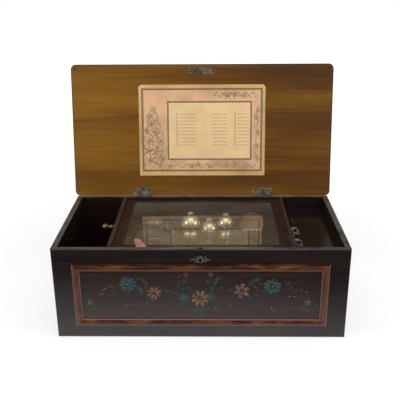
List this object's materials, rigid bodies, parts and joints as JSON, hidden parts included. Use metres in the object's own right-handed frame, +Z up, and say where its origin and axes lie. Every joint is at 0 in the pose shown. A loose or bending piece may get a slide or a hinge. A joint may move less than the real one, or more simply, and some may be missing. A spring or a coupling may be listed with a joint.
{
  "type": "cylinder music box",
  "caption": "Long wooden box with a hinged lid, an inner glass lid and a lever-wound pinned cylinder that plays a comb, bells, a drum and a castanet.",
  "frame": {"origin": "middle of the underside of the case", "axes": "+X along the case to the right seen from the front, +Y to the hinged back, +Z up"},
  "size_m": [0.573, 0.3589, 0.4745],
  "materials": {
    "case_wood": "polished, near black brown",
    "lid_wood": "satin varnish",
    "moulding_wood": "polished",
    "plain_wood": "bare",
    "deck_lacquer": "high gloss black",
    "pale_wood": "waxed",
    "bell_brass": "polished",
    "handle_brass": "polished",
    "works_brass": "satin",
    "steel": "brushed",
    "dark_steel": "darkened by age",
    "nickel": "nickel plate",
    "iron": "bronzed paint",
    "pane": "clear",
    "card": "printed card",
    "ribbon": "silk ribbon",
    "skin": "parchment"
  },
  "bodies": {
    "case": {"case_front": "case_wood", "case_back": "case_wood", "case_sides": "case_wood", "bottom_board": "plain_wood", "front_moulding": "moulding_wood", "left_partition": "case_wood", "right_partition": "case_wood", "control_deck": "deck_lacquer", "escutcheon": "dark_steel", "box_lock": "dark_steel", "case_hinge_leaves": "dark_steel", "hinge_pins": "dark_steel", "bedplate": "iron", "bearing_brackets": "works_brass", "comb_base": "iron", "comb": "steel", "movement_screws": "steel", "hammer_rail": "steel", "instrument_posts": "works_brass", "bell_finials": "bell_brass", "bells": "bell_brass", "drum_shell": "nickel", "drum_head": "skin", "castanet_block": "pale_wood"},
    "lid": {"lid_panel": "lid_wood", "lid_hinge_leaves": "dark_steel", "lid_screws": "dark_steel", "strike_plate": "dark_steel", "tune_card": "card"},
    "glass_lid": {"glass_frame": "case_wood", "glass_pane": "pane", "lift_tab": "ribbon"},
    "lever": {"winding_lever": "steel", "lever_handle": "handle_brass"},
    "barrel_arbor": {"barrel_arbor": "steel"},
    "spring_barrel": {"spring_barrel": "works_brass", "mainspring": "steel"},
    "ratchet_click": {"ratchet_click": "steel"},
    "cylinder_arbor": {"cylinder_arbor": "steel", "great_wheel": "works_brass"},
    "cylinder": {"cylinder": "works_brass"},
    "governor_arbor": {"governor_arbor": "steel"},
    "endless_screw": {"endless_screw": "steel"},
    "lock_bolt": {"lock_bolt": "dark_steel"},
    "start_lever": {"start_lever": "nickel"},
    "repeat_lever": {"repeat_lever": "nickel"},
    "bell_lever": {"bell_lever": "nickel"},
    "bell_hammer_1": {"bell_hammer_1": "steel"},
    "bell_hammer_2": {"bell_hammer_2": "steel"},
    "bell_hammer_3": {"bell_hammer_3": "steel"},
    "drum_beater_1": {"drum_beater_1": "steel"},
    "drum_beater_2": {"drum_beater_2": "steel"},
    "drum_beater_3": {"drum_beater_3": "steel"},
    "drum_beater_4": {"drum_beater_4": "steel"},
    "castanet_beater_1": {"castanet_beater_1": "steel"},
    "castanet_beater_2": {"castanet_beater_2": "steel"},
    "castanet_beater_3": {"castanet_beater_3": "steel"},
    "castanet_beater_4": {"castanet_beater_4": "steel"},
    "castanet_beater_5": {"castanet_beater_5": "steel"},
    "castanet_beater_6": {"castanet_beater_6": "steel"}
  },
  "joints": [
    {"name": "lid_hinge", "type": "hinge", "parent": "case", "child": "lid", "pos_m": [0, 0.1429, 0.19], "axis": [1, 0, 0], "range_deg": [0, 100.5]},
    {"name": "glass_lid_hinge", "type": "hinge", "parent": "case", "child": "glass_lid", "pos_m": [0, 0.1244, 0.182], "axis": [1, 0, 0], "range_deg": [-80, 0]},
    {"name": "lever_turn", "type": "hinge", "parent": "case", "child": "lever", "pos_m": [-0.184, -0.03, 0.066], "axis": [1, 0, 0], "range_deg": [0, 75]},
    {"name": "arbor_turn", "type": "hinge", "parent": "case", "child": "barrel_arbor", "pos_m": [-0.167, -0.03, 0.066], "axis": [1, 0, 0], "range_deg": [0, 75]},
    {"name": "click_lift", "type": "hinge", "parent": "case", "child": "ratchet_click", "pos_m": [-0.167, -0.014, 0.08], "axis": [1, 0, 0], "range_deg": [-12, 0]},
    {"name": "cylinder_spin", "type": "hinge", "parent": "case", "child": "cylinder_arbor", "pos_m": [-0.106, -0.022, 0.10392], "axis": [1, 0, 0], "continuous": true},
    {"name": "tune_shift", "type": "slide", "parent": "cylinder_arbor", "child": "cylinder", "axis": [1, 0, 0], "range_m": [-0.0028, 0]},
    {"name": "barrel_spin", "type": "hinge", "parent": "case", "child": "spring_barrel", "pos_m": [-0.156, -0.03, 0.066], "axis": [1, 0, 0], "continuous": true},
    {"name": "governor_spin", "type": "hinge", "parent": "case", "child": "governor_arbor", "pos_m": [0.124, -0.04576, 0.08016], "axis": [1, 0, 0], "continuous": true},
    {"name": "fly_spin", "type": "hinge", "parent": "case", "child": "endless_screw", "pos_m": [0.146, -0.06241, 0.08016], "axis": [0, 0, 1], "continuous": true},
    {"name": "start_lever_turn", "type": "hinge", "parent": "case", "child": "start_lever", "pos_m": [0.188, -0.078, 0.132], "axis": [1, 0, 0], "range_deg": [-10, 10]},
    {"name": "repeat_lever_turn", "type": "hinge", "parent": "case", "child": "repeat_lever", "pos_m": [0.188, -0.022, 0.132], "axis": [1, 0, 0], "range_deg": [-10, 10]},
    {"name": "bell_lever_turn", "type": "hinge", "parent": "case", "child": "bell_lever", "pos_m": [0.188, 0.022, 0.132], "axis": [1, 0, 0], "range_deg": [-10, 10]},
    {"name": "bolt_slide", "type": "slide", "parent": "case", "child": "lock_bolt", "axis": [1, 0, 0], "range_m": [0, 0.006]},
    {"name": "bell_hammer_1_swing", "type": "hinge", "parent": "case", "child": "bell_hammer_1", "pos_m": [-0.025, 0.016, 0.118], "axis": [1, 0, 0], "range_deg": [0, 12]},
    {"name": "bell_hammer_2_swing", "type": "hinge", "parent": "case", "child": "bell_hammer_2", "pos_m": [0.0164, 0.016, 0.118], "axis": [1, 0, 0], "range_deg": [0, 12]},
    {"name": "bell_hammer_3_swing", "type": "hinge", "parent": "case", "child": "bell_hammer_3", "pos_m": [0.0522, 0.016, 0.118], "axis": [1, 0, 0], "range_deg": [0, 12]},
    {"name": "drum_beater_1_swing", "type": "hinge", "parent": "case", "child": "drum_beater_1", "pos_m": [-0.113, 0.016, 0.118], "axis": [1, 0, 0], "range_deg": [0, 8]},
    {"name": "drum_beater_2_swing", "type": "hinge", "parent": "case", "child": "drum_beater_2", "pos_m": [-0.106, 0.016, 0.118], "axis": [1, 0, 0], "range_deg": [0, 8]},
    {"name": "drum_beater_3_swing", "type": "hinge", "parent": "case", "child": "drum_beater_3", "pos_m": [-0.099, 0.016, 0.118], "axis": [1, 0, 0], "range_deg": [0, 8]},
    {"name": "drum_beater_4_swing", "type": "hinge", "parent": "case", "child": "drum_beater_4", "pos_m": [-0.092, 0.016, 0.118], "axis": [1, 0, 0], "range_deg": [0, 8]},
    {"name": "castanet_beater_1_swing", "type": "hinge", "parent": "case", "child": "castanet_beater_1", "pos_m": [0.09475, 0.016, 0.118], "axis": [1, 0, 0], "range_deg": [0, 12]},
    {"name": "castanet_beater_2_swing", "type": "hinge", "parent": "case", "child": "castanet_beater_2", "pos_m": [0.10145, 0.016, 0.118], "axis": [1, 0, 0], "range_deg": [0, 12]},
    {"name": "castanet_beater_3_swing", "type": "hinge", "parent": "case", "child": "castanet_beater_3", "pos_m": [0.10815, 0.016, 0.118], "axis": [1, 0, 0], "range_deg": [0, 12]},
    {"name": "castanet_beater_4_swing", "type": "hinge", "parent": "case", "child": "castanet_beater_4", "pos_m": [0.11485, 0.016, 0.118], "axis": [1, 0, 0], "range_deg": [0, 12]},
    {"name": "castanet_beater_5_swing", "type": "hinge", "parent": "case", "child": "castanet_beater_5", "pos_m": [0.12155, 0.016, 0.118], "axis": [1, 0, 0], "range_deg": [0, 12]},
    {"name": "castanet_beater_6_swing", "type": "hinge", "parent": "case", "child": "castanet_beater_6", "pos_m": [0.12825, 0.016, 0.118], "axis": [1, 0, 0], "range_deg": [0, 12]}
  ],
  "couplings": [
    {"joint": "arbor_turn", "follows": "lever_turn", "ratio": 1},
    {"joint": "barrel_spin", "follows": "cylinder_spin", "ratio": -0.24},
    {"joint": "governor_spin", "follows": "cylinder_spin", "ratio": -6},
    {"joint": "fly_spin", "follows": "cylinder_spin", "ratio": 90}
  ]
}
